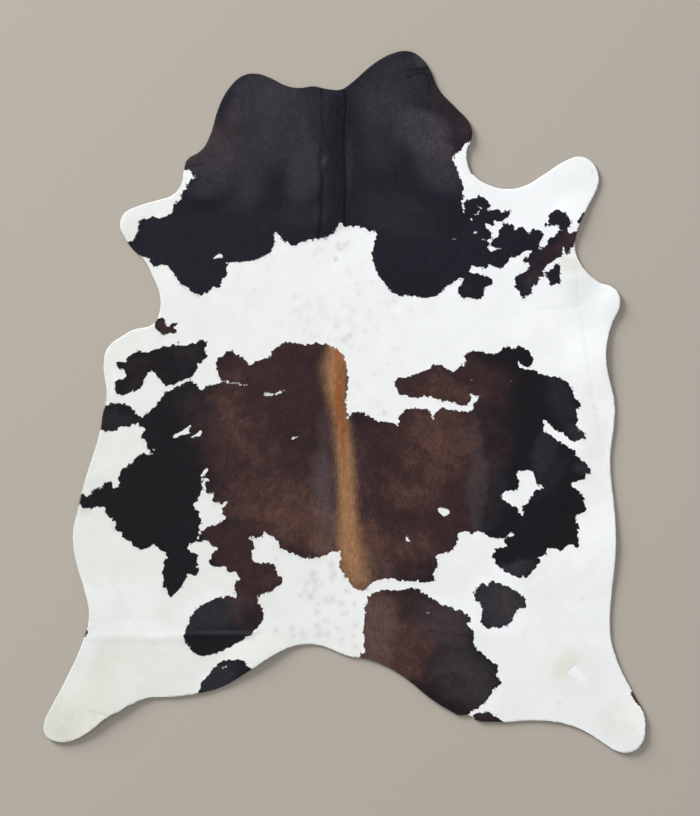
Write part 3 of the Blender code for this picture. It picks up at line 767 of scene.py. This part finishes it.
undercoat = {
    "depth": 0.0022,           # of the dense hair under the locks
    "step": 0.0056,
    "waviness": 0.0006,        # height of the hide's slow unevenness
    "waves": 0.17,             # size of one of its cells, and of a smaller one's
    "smallWaves": 0.07,
    "smallShare": 0.5,         # height of the smaller ones
    "creaseFloor": -0.0016,    # no crease goes deeper than the hair
    "rimReach": 0.004,         # over this the hair thins towards the cut edge
    "rimHair": 0.99,           # share of the hair's depth left at the edge
    "rimInset": 0.0010,        # where the undercoat starts to turn down to the cut edge
    "rimRings": ((0.75, 0.45), (1.0, 1.0)),   # each ring's share of the way out and of the way down
    "rimTuck": 0.0003,         # the last ring ends this far below the leather's top
    "rimShade": 1.15,          # painted shade on the turned-down cut edge
    "edgeShade": 0.2,          # painted shade too, on the last of the hair above it
    "joinReach": 0.010,        # nearer the patch than this no painted edge shade is laid
    "joinDrop": 0.12,          # and the hair turns down by this share only
    "tone": -0.8,              # painted shade between the locks: darker than the locks on it, which run from -1 to 1
    "strandWidth": 0.0014,
    "strandLength": 0.012,
}


def undersideHeight(place):
    # lifts of the stiff edge and low swells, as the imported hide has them
    height = np.zeros(len(place))
    for across, along, reach, lift in lifts:
        height += lift * bell(np.linalg.norm(place - (across, along), axis=1), reach)
    for startX, startY, endX, endY, halfWidth, lift in swells:
        height += lift * bell(distanceToLine(place, np.array(((startX, startY), (endX, endY)))), halfWidth)
    return height


def creaseHeight(place):
    # soft troughs and ridges along the creases' lines, and the slow unevenness of a hide laid out
    waves = softNoise(place, undercoat["waves"], seeds["waves"])
    waves = waves + undercoat["smallShare"] * softNoise(place, undercoat["smallWaves"], seeds["smallWaves"])
    height = undercoat["waviness"] * waves
    for line, halfWidth, lift, shadeStrength in creases.values():
        height += lift * bell(distanceToLine(place, fromPhoto(line)), halfWidth)
    return np.maximum(height, undercoat["creaseFloor"])


def undercoatHeight(place, depth):
    # top of the dense hair: the leather's top, its own depth, eased down at the cut edge, and the creases
    ease = 1 - (1 - undercoat["rimHair"]) * (1 - np.clip(depth / undercoat["rimReach"], 0, 1)) ** 2
    return undersideHeight(place) + leather["thickness"] + ease * (undercoat["depth"] + creaseHeight(place))


def openEdge(place):
    # 1 along the hide's own cut edge, 0 round the patch, where hair lies over the join
    low, high = (np.array(corner)[:2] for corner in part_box("mending_patch"))
    off = np.maximum(np.maximum(low - place, place - high), 0)
    return (np.linalg.norm(off, axis=1) > undercoat["joinReach"]).astype(float)


def makeHairSide(name, field, values, step, material, plain=False):
    # the undercoat: cut sheet at the undercoat's height, then a rim of rings turned down to the leather
    sheet = cutInside(field, values, step, undercoat["rimInset"])
    place, first = sheet["place"], sheet["rimFirst"]
    total, count = len(place), len(place) - first
    height = undercoatHeight(place, sampleField(field, values, place))
    edge = place[first:]
    out = outwards(field, values, edge)
    foot = undersideHeight(edge) + leather["thickness"] - undercoat["rimTuck"]
    turn = undercoat["joinDrop"] + (1 - undercoat["joinDrop"]) * openEdge(edge)
    rings, heights = [place], [height]
    for share, drop in undercoat["rimRings"]:
        rings.append(edge + out * undercoat["rimInset"] * share)
        heights.append(height[first:] + (foot - height[first:]) * drop * turn)
    loops, counts = [sheet["loops"]], [sheet["counts"]]
    leaves, enters = sheet["rim"].T
    shifts = [0] + [count * (1 + ring) for ring in range(len(undercoat["rimRings"]))]
    for above, below in zip(shifts[:-1], shifts[1:]):
        upper, lower = np.column_stack([enters, leaves]) + above, np.column_stack([leaves, enters]) + below
        loops.append(np.column_stack([upper, lower]).ravel())
        counts.append(np.full(len(leaves), 4))
    place = np.concatenate(rings)
    points = np.column_stack([place, np.concatenate(heights)])
    facts = coatFacts(place)
    edgeShadeShare = openEdge(place)
    marks = facts["marks"]
    # painted shade on the cut edge's rings and on the hair just inside them
    marks[total:, 2] = np.maximum(marks[total:, 2], undercoat["rimShade"] * edgeShadeShare[total:])
    marks[first:total, 2] += undercoat["edgeShade"] * edgeShadeShare[first:total]
    flow = hairFlow(place)
    facts["place"] = points
    facts["lock"] = np.full(len(place), undercoat["tone"])
    strandAcross = (place * besideFlow(flow)).sum(1) / undercoat["strandWidth"]
    strandAlong = (place * flow).sum(1) / undercoat["strandLength"]
    facts["strand"] = np.column_stack([strandAcross, strandAlong, np.zeros(len(place))])
    if plain:
        facts["dark"][:] = edging["plainHair"]
        facts["marks"][:] = 0
    return addMesh(name, points, np.concatenate(loops), np.concatenate(counts), facts, material)


def makeLeather(name, field, values, step, material, inset=0.0):
    # a closed slab: the cut sheet twice, a leather's thickness apart, and the cut edge between them
    sheet = cutInside(field, values, step, inset)
    place, loops, counts = sheet["place"], sheet["loops"], sheet["counts"]
    under = undersideHeight(place)
    points = np.concatenate([np.column_stack([place, under + leather["thickness"]]),
                             np.column_stack([place, under])])
    faceOf = np.repeat(np.arange(len(counts)), counts)
    within = np.arange(len(loops)) - np.repeat(np.cumsum(counts) - counts, counts)
    turned = loops[(np.cumsum(counts) - 1)[faceOf] - within] + len(place)
    leaves, enters = sheet["rim"].T
    wall = np.column_stack([enters, leaves, leaves + len(place), enters + len(place)])
    return addMesh(name, points, np.concatenate([loops, turned, wall.ravel()]),
                   np.concatenate([counts, counts, np.full(len(wall), 4)]), {}, material, bakeMap=False)


locks = {
    "spacing": 0.0037,         # from root to root
    "rootInset": 0.0012,       # no root nearer the cut edge than this
    "length": (0.008, 0.0135),
    "shortest": 0.004,
    "width": (0.0020, 0.0030),
    "overhang": (0.0003, 0.0018),
    "lean": 9.0,               # degrees off the lie of the hair, more or less
    "shaggyLength": 0.5,       # how much longer a lock is where the coat is shaggy
    "shaggyOverhang": 4.0,
    "crestShift": 0.25,        # how far its ridge lies off its middle, in widths
    "crown": 0.00015,          # height of a lock's ridge at its root
    "roll": 0.0001,            # by how much it lies over to one side
    "sink": 0.0002,            # its two lower corners lie this far in the undercoat
    "lift": (0.0002, 0.0007),  # height of its tip above the undercoat
    "whiteRelief": 0.35,       # white hair lies smoother: its share of the relief
    "reliefReach": 0.004,      # over this the relief changes at a marking's edge
    "toneSize": 0.014,         # neighbours within this are alike
    "toneSpread": 0.7,         # and differ by this, one from the next
    "calm": 0.5,               # share of that unevenness where the coat isn't shaggy
    "strandStep": 50,          # how far one lock's streaks lie from its neighbour's
    "seed": 5,
}


def growLocks(field, values, settings, seed):
    # roots on a shaken square grid; each lock is a slim closed spike with three corners at its root and one
    # at its tip, shortened where it would reach too far over the cut edge
    random = np.random.default_rng(seed)
    across, along = fieldLines(field)
    spacing = settings["spacing"]
    columns = np.arange(across[0], across[-1], spacing)
    rows = np.arange(along[0], along[-1], spacing)
    root = np.stack(np.meshgrid(columns, rows), axis=-1).reshape(-1, 2)
    root = root + random.uniform(-0.5, 0.5, root.shape) * spacing
    root = root[sampleField(field, values, root) > settings["rootInset"]]
    count = len(root)
    shaggy = softPatch(root, "shaggy")
    length = random.uniform(*settings["length"], count) * (1 + settings["shaggyLength"] * shaggy)
    overhang = random.uniform(*settings["overhang"], count) * (1 + settings["shaggyOverhang"] * shaggy)
    lean = random.normal(0, math.radians(settings["lean"]), count) * (1 + shaggy)
    flow = hairFlow(root)
    flow = flow * np.cos(lean)[:, None] - besideFlow(flow) * np.sin(lean)[:, None]
    rootDepth = sampleField(field, values, root)
    tipDepth = sampleField(field, values, root + flow * length[:, None])
    slope = np.maximum((rootDepth - tipDepth) / length, 1e-6)
    length = np.where(tipDepth < -overhang, np.minimum(length, (rootDepth + overhang) / slope), length)
    keep = length > settings["shortest"]
    root, flow, length, shaggy = root[keep], flow[keep], length[keep], shaggy[keep]
    count = len(root)
    width = random.uniform(*settings["width"], count)[:, None]
    beside = besideFlow(flow) * width
    shift = random.uniform(-settings["crestShift"], settings["crestShift"], (count, 1))

    def at(place, lift):
        # a point so far above the undercoat's top
        return np.column_stack([place, undercoatHeight(place, sampleField(field, values, place)) + lift])

    relief = np.clip(0.5 + darkDistance(root) / settings["reliefReach"], 0, 1)
    relief = settings["whiteRelief"] + (1 - settings["whiteRelief"]) * relief
    roll = random.normal(0, settings["roll"], count) * relief
    lift = random.uniform(*settings["lift"], count) * relief * (1 + shaggy)
    corners = np.stack([at(root - beside / 2, roll - settings["sink"]),
                        at(root + beside / 2, -roll - settings["sink"]),
                        at(root + beside * shift, settings["crown"] * relief),
                        at(root + flow * length[:, None], lift)], axis=1)
    return root, corners, random


def addLocks(name, root, corners, tone, material, plain=False):
    # joins the spikes into one mesh: four faces each, outward; every corner wears its root's tints, and reads
    # the marking where it lies, a hair's breadth early or late
    count = len(root)
    facts = coatFacts(root)
    facts["place"] = np.column_stack([root, corners[:, 2, 2]])
    facts["lock"] = tone
    facts = {fact: np.repeat(values, 4, axis=0) for fact, values in facts.items()}
    facts["dark"] = darkDistance(corners.reshape(-1, 3)[:, :2]) + np.repeat(tone * edging["stray"], 4)
    if plain:
        facts["dark"][:] = edging["plainHair"]
        facts["marks"][:] = 0
    strand = np.tile(np.array(((-1, 0), (1, 0), (0, 0), (0, 1)), float), (count, 1))
    facts["strand"] = np.column_stack([strand, np.repeat(tone * locks["strandStep"], 4)])
    faces = np.array(((0, 2, 3), (2, 1, 3), (0, 3, 1), (0, 1, 2)))
    loops = (np.arange(count)[:, None, None] * 4 + faces).ravel()
    return addMesh(name, corners.reshape(-1, 3), loops, np.full(4 * count, 3), facts, material, smooth=False)


class Nodes:
    # lays nodes out from left to right and links what each is given
    gap = 190

    def __init__(self, tree):
        self.tree = tree
        self.column = 0

    def node(self, kind, inputs=None, **settings):
        # one node, a gap to the right of the last, with its settings and what goes in
        made = self.tree.nodes.new(kind)
        made.location = (self.column * self.gap, 0)
        self.column += 1
        for name, value in settings.items():
            setattr(made, name, value)
        for name, value in (inputs or {}).items():
            self.put(made.inputs[name], value)
        return made

    def put(self, socket, value):
        # a link where the value is another node's output, or else the plain value
        if isinstance(value, bpy.types.NodeSocket):
            self.tree.links.new(value, socket)
        else:
            socket.default_value = value

    def math(self, operation, first, second, clamp=False):
        # the two values joined by the operation, held between 0 and 1 if asked
        made = self.node("ShaderNodeMath", {0: first, 1: second}, operation=operation, use_clamp=clamp)
        return made.outputs[0]

    def plus(self, first, second, clamp=False):
        # their sum
        return self.math("ADD", first, second, clamp)

    def minus(self, first, second, clamp=False):
        # the first less the second
        return self.math("SUBTRACT", first, second, clamp)

    def times(self, first, second):
        # their product
        return self.math("MULTIPLY", first, second)

    def swing(self, value, amount):
        # a noise, about 0 and as strong as the amount
        return self.times(self.minus(value, 0.5), amount)

    def noise(self, vector, look):
        # soft noise from 0 to 1, with the look's repeats, detail and roughness
        scale, detail, roughness = look
        return self.node("ShaderNodeTexNoise", {"Vector": vector, "Scale": scale, "Detail": detail,
                                                "Roughness": roughness}).outputs["Fac"]

    def tufts(self, vector, scale, amount):
        # rounded lobes about scattered middles, with sharp notches between them
        away = self.node("ShaderNodeTexVoronoi", {"Vector": vector, "Scale": scale},
                         voronoi_dimensions="2D", feature="F1").outputs["Distance"]
        return self.times(self.minus(hairDetail["lobeMiddle"], away), amount)

    def eased(self, value, low, high, toLow=0.0, toHigh=1.0):
        # from one end to the other as the value goes from low to high, level at both ends
        return self.node("ShaderNodeMapRange", {"Value": value, "From Min": low, "From Max": high,
                                                "To Min": toLow, "To Max": toHigh},
                         interpolation_type="SMOOTHSTEP").outputs[0]

    def mix(self, share, first, second, blend="MIX"):
        # the first colour at a share of 0, the second at 1, or their product where so blended
        made = self.node("ShaderNodeMix", data_type="RGBA", blend_type=blend)
        self.put(made.inputs[0], share)
        self.put(made.inputs[6], first)
        self.put(made.inputs[7], second)
        return made.outputs[2]

    def split(self, vector):
        # its three parts
        return self.node("ShaderNodeSeparateXYZ", {0: vector}).outputs


def colour(hexCode):
    # a screen colour as light, for Blender's sockets
    parts = np.array([int(hexCode[i:i + 2], 16) for i in (0, 2, 4)]) / 255
    light = np.where(parts <= 0.04045, parts / 12.92, ((parts + 0.055) / 1.055) ** 2.4)
    return (*light.tolist(), 1.0)


hairColours = {
    "white": colour("E9EBED"),
    # cream white hair, also used as painted shade on the white
    "creamAndShade": colour("D2D4CB"),
    "bleached": colour("F6F8FB"),
    "freckleAndShade": colour("BFC2BF"),
    "stain": colour("CFCBB8"),
    "slate": colour("1B1B25"),
    "sable": colour("17151A"),
    "brown": colour("352426"),
    "warm": colour("5E4238"),
    "coolPaintedSheen": colour("4A494F"),
    "warmPaintedSheen": colour("645556"),
    "tan": colour("9A7251"),
    "rust": colour("925024"),
    "paintedShade": colour("08080A"),
}

# A noise has its repeats in a metre, its detail and its roughness. A ramp has where it starts and ends, and
# what it gives there, or else 0 and 1.
hairDetail = {
    "fine": (420, 2, 0.6),               # single hairs
    "clump": (75, 3, 0.6),
    "cloud": (20, 4, 0.65),              # slow blotches
    "speck": (170, 2, 0.6),              # speckles within a freckle
    "stray": (300, 2, 0.6),              # hairs across a marking's edge
    "streak": (1.0, 2, 0.6),             # streaks in a lock
    "streakScale": (3.2, 0.7, 7.0),      # across it, along it, and from lock to lock
    "grainFine": 0.6,                    # shares of single hairs and clumps in the grain
    "grainClump": 0.4,
    "creamBase": 0.05,                   # white hair is creamier in blotches, and, partly as painted shade,
    "creamCloud": 0.5,
    "creamAndShadeAlong": 0.22,                  # towards the tail,
    "creamAndShadeAcross": 0.37,                 # to the left,
    "paintedSheenWhitening": 0.7,                   # and where no painted sheen lies on it
    "freckleAndShade": (0.55, 1.15, 0.30, 1.0),
    "slate": (0.22, 0.42),               # along the hide: bluer black from here up
    "brownCloud": 0.8,
    "brown": (0.10, 0.90),
    "warmGrain": 2.4,
    "warmCloud": 1.3,
    "warm": (0.10, 1.30),
    "paintedSheen": (0.25, 0.75, 0.40, 0.75),
    "rust": (0.3, 0.7, 0.6, 1.0),
    "tan": 1.2,
    "tanGrain": 1.0,
    "tanStart": 0.1,
    "tanCurve": 1.7,
    "deepAndShade": 0.45,
    "lobeMiddle": 0.42,
    "lobe": 58.0,                        # repeats of the tufts in a metre, large to small
    "tuft": 105.0,
    "tip": 230.0,
    "lobeDepth": (0.35, 0.65, 0.002, 0.012),
    "tuftDepth": 0.0060,
    "tipDepth": 0.0040,
    "strayDepth": 0.0030,
    "edge": (-0.0003, 0.0003),
    "whiteByLock": (-1.0, 1.0, 0.97, 1.02),
    "whiteByStreak": (0.2, 0.8, 0.97, 1.02),
    "darkByLock": (-1.0, 1.0, 0.75, 1.32),
    "darkByStreak": (0.2, 0.8, 0.80, 1.20),
    "paintedShade": 0.8,
    "roughClump": 0.5,
    "rough": (0.3, 1.2, 0.55, 0.78),
    "height": (0.0, 1.0, 0.4, 1.0),      # white hair stands less proud
}
vectorFacts = ("Place", "Strand", "Tints", "Tones", "Marks")
valueFacts = ("Dark", "Fray", "Lock")


def hairGroup():
    # colour, roughness and height of the hair from the facts at its root, with its painted sheen and painted
    # shade
    tree = bpy.data.node_groups.new("hairColour", "ShaderNodeTree")
    for name in ("Spot", *vectorFacts):
        tree.interface.new_socket(name, in_out="INPUT", socket_type="NodeSocketVector")
    for name in (*valueFacts, "Bleach"):
        tree.interface.new_socket(name, in_out="INPUT", socket_type="NodeSocketFloat")
    for name, kind in (("Colour", "Color"), ("Roughness", "Float"), ("Height", "Float")):
        tree.interface.new_socket(name, in_out="OUTPUT", socket_type="NodeSocket" + kind)
    s = Nodes(tree)
    given = s.node("NodeGroupInput").outputs
    place, spot, look, by = given["Place"], given["Spot"], hairColours, hairDetail
    tan, brown, warm = s.split(given["Tints"])
    paintedSheen, deepAndShade, rust = s.split(given["Tones"])
    freckleAndShade, stain, paintedShade = s.split(given["Marks"])
    across, along, up = s.split(place)
    fine, clump, cloud, speck = (s.noise(place, by[name]) for name in ("fine", "clump", "cloud", "speck"))
    streaks = s.node("ShaderNodeVectorMath", {0: given["Strand"], 1: by["streakScale"]}, operation="MULTIPLY")
    hairs = s.noise(streaks.outputs[0], by["streak"])
    grain = s.plus(s.times(fine, by["grainFine"]), s.times(clump, by["grainClump"]))

    # white hair: whiter under the painted sheen and towards the neck and the right; creamier in blotches and
    # towards the left hind leg, which is partly painted shade
    creamAndShadeShare = s.minus(s.times(cloud, by["creamCloud"]), s.times(along, by["creamAndShadeAlong"]))
    creamAndShadeShare = s.minus(creamAndShadeShare, s.times(across, by["creamAndShadeAcross"]))
    creamAndShadeShare = s.minus(creamAndShadeShare, s.times(paintedSheen, by["paintedSheenWhitening"]))
    white = s.mix(s.plus(creamAndShadeShare, by["creamBase"], clamp=True), look["white"], look["creamAndShade"])
    white = s.mix(given["Bleach"], white, look["bleached"])
    # freckles, and painted shade dimming the white
    white = s.mix(s.times(freckleAndShade, s.eased(s.plus(freckleAndShade, speck), *by["freckleAndShade"])), white, look["freckleAndShade"])
    white = s.mix(stain, white, look["stain"])

    # dark hair: slate, browned, warmed in blotches of fine hairs, greyed by a painted sheen
    browned = s.plus(brown, s.swing(cloud, by["brownCloud"]))
    ground = s.mix(s.eased(along, *by["slate"]), look["sable"], look["slate"])
    dark = s.mix(s.eased(browned, *by["brown"]), ground, look["brown"])
    warmed = s.plus(s.plus(warm, s.swing(grain, by["warmGrain"])), s.swing(cloud, by["warmCloud"]))
    dark = s.mix(s.times(s.eased(warmed, *by["warm"]), brown), dark, look["warm"])
    # colour of the painted sheen, warmer over brown hair
    shine = s.mix(brown, look["coolPaintedSheen"], look["warmPaintedSheen"])
    dark = s.mix(s.times(paintedSheen, s.eased(grain, *by["paintedSheen"])), dark, shine)
    stripe = s.mix(s.times(rust, s.eased(grain, *by["rust"])), look["tan"], look["rust"])
    tanned = s.plus(s.times(tan, by["tan"]), s.swing(grain, by["tanGrain"]))
    tanned = s.math("POWER", s.minus(tanned, by["tanStart"], clamp=True), by["tanCurve"])
    dark = s.mix(tanned, dark, stripe)
    # darker hair and painted shade, towards near black
    dark = s.mix(s.times(deepAndShade, by["deepAndShade"]), dark, look["paintedShade"])

    # the marking's edge: small tufts on large ones, and stray hairs
    ragged = s.tufts(spot, by["lobe"], s.eased(cloud, *by["lobeDepth"]))
    ragged = s.plus(ragged, s.tufts(spot, by["tuft"], by["tuftDepth"]))
    ragged = s.plus(ragged, s.tufts(spot, by["tip"], by["tipDepth"]))
    ragged = s.plus(ragged, s.swing(s.noise(spot, by["stray"]), by["strayDepth"]))
    isDark = s.eased(s.plus(given["Dark"], s.times(ragged, given["Fray"])), *by["edge"])

    def toned(tone, byLock, byStreak):
        # lighter and darker from lock to lock and from streak to streak
        share = s.times(s.eased(given["Lock"], *byLock), s.eased(hairs, *byStreak))
        return s.mix(1.0, tone, share, "MULTIPLY")

    both = s.mix(isDark, toned(white, by["whiteByLock"], by["whiteByStreak"]),
                 toned(dark, by["darkByLock"], by["darkByStreak"]))
    out = s.node("NodeGroupOutput")
    # painted shade of the creases and of the cut edge, over both hairs
    s.put(out.inputs["Colour"], s.mix(s.times(paintedShade, by["paintedShade"]), both, look["paintedShade"]))
    s.put(out.inputs["Roughness"], s.eased(s.plus(hairs, s.times(clump, by["roughClump"])), *by["rough"]))
    s.put(out.inputs["Height"], s.times(hairs, s.eased(isDark, *by["height"])))
    return tree


def newMaterial(name, shine):
    # a node material, its own shader, and a hand to lay its other nodes
    material = bpy.data.materials.new(name)
    material.use_nodes = True
    shader = material.node_tree.nodes["Principled BSDF"]
    shader.inputs["Specular IOR Level"].default_value = shine
    return material, shader, Nodes(material.node_tree)


def hairMaterial(name, group, settings):
    # hair that reads the facts its mesh carries
    material, shader, s = newMaterial(name, settings["shine"])
    spot = s.node("ShaderNodeTexCoord").outputs["Object"]
    made = s.node("ShaderNodeGroup", node_tree=group)
    s.put(made.inputs["Spot"], spot)
    s.put(made.inputs["Bleach"], settings["bleach"])
    for name in (*vectorFacts, *valueFacts):
        read = s.node("ShaderNodeAttribute", attribute_name=name.lower(), attribute_type="GEOMETRY")
        s.put(made.inputs[name], read.outputs["Vector" if name in vectorFacts else "Fac"])
    s.put(shader.inputs["Base Color"], made.outputs["Colour"])
    s.put(shader.inputs["Roughness"], made.outputs["Roughness"])
    bump = s.node("ShaderNodeBump", {"Strength": settings["bump"], "Distance": settings["bumpDepth"],
                                     "Height": made.outputs["Height"]})
    s.put(shader.inputs["Normal"], bump.outputs[0])
    return material


suedeLook = {
    "shine": 0.2,
    "ground": colour("C9C2B6"),
    "blotched": colour("A9A59F"),
    "veined": colour("8F8A86"),
    "rubbed": colour("DED8CC"),
    "nap": (900, 3, 0.7),
    "blotch": (7, 5, 0.6),
    "vein": (22, 4, 0.75),
    "blotchRamp": (0.35, 0.7),
    "veinRamp": (0.52, 0.72, 0.0, 0.35),
    "napRamp": (0.3, 0.7, 0.0, 0.25),
    "rough": (0.2, 0.8, 0.82, 0.96),
    "bump": 0.5,
    "bumpDepth": 0.0006,
}


def suedeMaterial():
    # flesh side of the leather: short nap, slow blotches from the tanning, faint veins
    look = suedeLook
    material, shader, s = newMaterial("fleshSuede", look["shine"])
    place = s.node("ShaderNodeTexCoord").outputs["Object"]
    nap, blotch, vein = (s.noise(place, look[name]) for name in ("nap", "blotch", "vein"))
    tone = s.mix(s.eased(blotch, *look["blotchRamp"]), look["ground"], look["blotched"])
    tone = s.mix(s.eased(vein, *look["veinRamp"]), tone, look["veined"])
    tone = s.mix(s.eased(nap, *look["napRamp"]), tone, look["rubbed"])
    s.put(shader.inputs["Base Color"], tone)
    s.put(shader.inputs["Roughness"], s.eased(nap, *look["rough"]))
    bump = s.node("ShaderNodeBump", {"Strength": look["bump"], "Distance": look["bumpDepth"], "Height": nap})
    s.put(shader.inputs["Normal"], bump.outputs[0])
    return material


coatGroup = hairGroup()
hairLook = {"shine": 0.11, "bump": 0.25, "bumpDepth": 0.0005, "bleach": 0.0}
coatHair = hairMaterial("cowHair", coatGroup, hairLook)
bleachedHair = hairMaterial("bleachedHair", coatGroup, {**hairLook, "bleach": 0.20})
suede = suedeMaterial()
print("materials made")

hairSide = makeHairSide("hairSide", markField, edgeField, undercoat["step"], coatHair)
fleshSide = makeLeather("fleshSide", markField, edgeField, leather["step"], suede, inset=leather["inset"])
print("hide:", len(hairSide.data.polygons), "faces of undercoat,", len(fleshSide.data.polygons), "of leather")

root, corners, random = growLocks(markField, edgeField, locks, locks["seed"])
tone = softNoise(root, locks["toneSize"], seeds["lockTone"])
tone = tone + random.normal(0, locks["toneSpread"], len(root))
tone = np.clip((locks["calm"] + (1 - locks["calm"]) * softPatch(root, "shaggy")) * tone, -1, 1)
order = np.argsort(-root[:, 1], kind="stable")    # from the neck to the tail
lockPieces = []
for name, chosen in zip(("neckLocks", "shoulderLocks", "backLocks", "hindLocks"), np.array_split(order, 4)):
    lockPieces.append(addLocks(name, root[chosen], corners[chosen], tone[chosen], coatHair))
print("locks:", len(root), "in", len(lockPieces), "pieces")

patch = {
    "fieldStep": 0.001,
    "fieldMargin": 0.012,
    "fieldReach": 0.030,
    "step": 0.002,
    "tone": 0.4,               # its locks are lighter than the hide's
    "toneSpread": 0.3,
    "seed": 9,
    "locks": {**locks, "spacing": 0.0030, "overhang": (0.0006, 0.0016), "width": (0.0016, 0.0026)},
}
patchStarts, patchEnds = outlineOf("mending_patch")
patchLow, patchHigh = (np.array(corner)[:2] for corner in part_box("mending_patch"))
patchField = emptyField(patchLow - patch["fieldMargin"], patchHigh + patch["fieldMargin"], patch["fieldStep"])
patchEdge = signedDistance(patchField, patchStarts, patchEnds, patch["fieldReach"])
patchHairSide = makeHairSide("patchHair", patchField, patchEdge, patch["step"], bleachedHair, plain=True)
patchLeather = makeLeather("patchLeather", patchField, patchEdge, patch["step"], suede)
patchRoot, patchCorners, patchRandom = growLocks(patchField, patchEdge, patch["locks"], patch["seed"])
patchTone = np.clip(patch["tone"] + patchRandom.normal(0, patch["toneSpread"], len(patchRoot)), -1, 1)
patchLocks = addLocks("patchLocks", patchRoot, patchCorners, patchTone, bleachedHair, plain=True)
print("patch:", len(patchRoot), "locks")

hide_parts("hide")
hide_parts("mending_patch")
for piece in (hairSide, fleshSide, *lockPieces):
    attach(piece, "root")
for piece in (patchHairSide, patchLeather, patchLocks):
    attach(piece, "root")


studio = {
    "lens": 85.0,
    "sensor": 36.0,
    "focus": 0.006,           # height above the floor that fills the frame
    "farEnd": 50.0,
    "keyTurn": 135.0,         # degrees anticlockwise from +X: the upper left of the photo
    "keyHeight": 14.0,        # degrees above the floor
    "keyDistance": 24.0,
    "keySize": 9.0,
    "keyPower": 14000.0,
    "fill": 0.58,
    "floor": colour("A8A197"),
    "floorSize": 60.0,
    "floorDrop": 0.0002,      # clear of the leather
    "floorRoughness": 0.9,
    "floorShine": 0.1,
}


def addFloor():
    # a plain pale floor just under the leather
    bpy.ops.mesh.primitive_plane_add(size=studio["floorSize"], location=(0, 0, -studio["floorDrop"]))
    floor = bpy.context.object
    floor.name = "floor"
    material, shader, s = newMaterial("floorPaint", studio["floorShine"])
    s.put(shader.inputs["Base Color"], studio["floor"])
    s.put(shader.inputs["Roughness"], studio["floorRoughness"])
    floor.data.materials.append(material)


def addLights():
    # one large low lamp from the upper left, and an even white world
    turn, height = math.radians(studio["keyTurn"]), math.radians(studio["keyHeight"])
    light = bpy.data.lights.new("key", "AREA")
    light.shape = "DISK"
    light.size = studio["keySize"]
    light.energy = studio["keyPower"]
    lamp = bpy.data.objects.new("key", light)
    away = np.array((math.cos(turn) * math.cos(height), math.sin(turn) * math.cos(height), math.sin(height)))
    lamp.location = away * studio["keyDistance"]
    lamp.rotation_euler = (math.pi / 2 - height, 0, turn + math.pi / 2)
    bpy.context.scene.collection.objects.link(lamp)
    world = bpy.data.worlds.new("studio")
    world.use_nodes = True
    world.node_tree.nodes["Background"].inputs["Color"].default_value = (1, 1, 1, 1)
    world.node_tree.nodes["Background"].inputs["Strength"].default_value = studio["fill"]
    bpy.context.scene.world = world


def addCamera():
    # straight above, so that one pixel of the photo's frame covers one photo pixel of hide
    tall = photo["size"][1] * photo["pixel"]
    centre = fromPhoto(np.array(photo["size"]) / 2)
    view = bpy.data.cameras.new("above")
    view.lens, view.sensor_width = studio["lens"], studio["sensor"]
    view.clip_end = studio["farEnd"]
    eye = bpy.data.objects.new("above", view)
    eye.location = (centre[0], centre[1], tall * studio["lens"] / studio["sensor"] + studio["focus"])
    bpy.context.scene.collection.objects.link(eye)
    bpy.context.scene.camera = eye
    bpy.context.scene.view_settings.view_transform = "Standard"


addFloor()
addLights()
addCamera()
print("studio set")
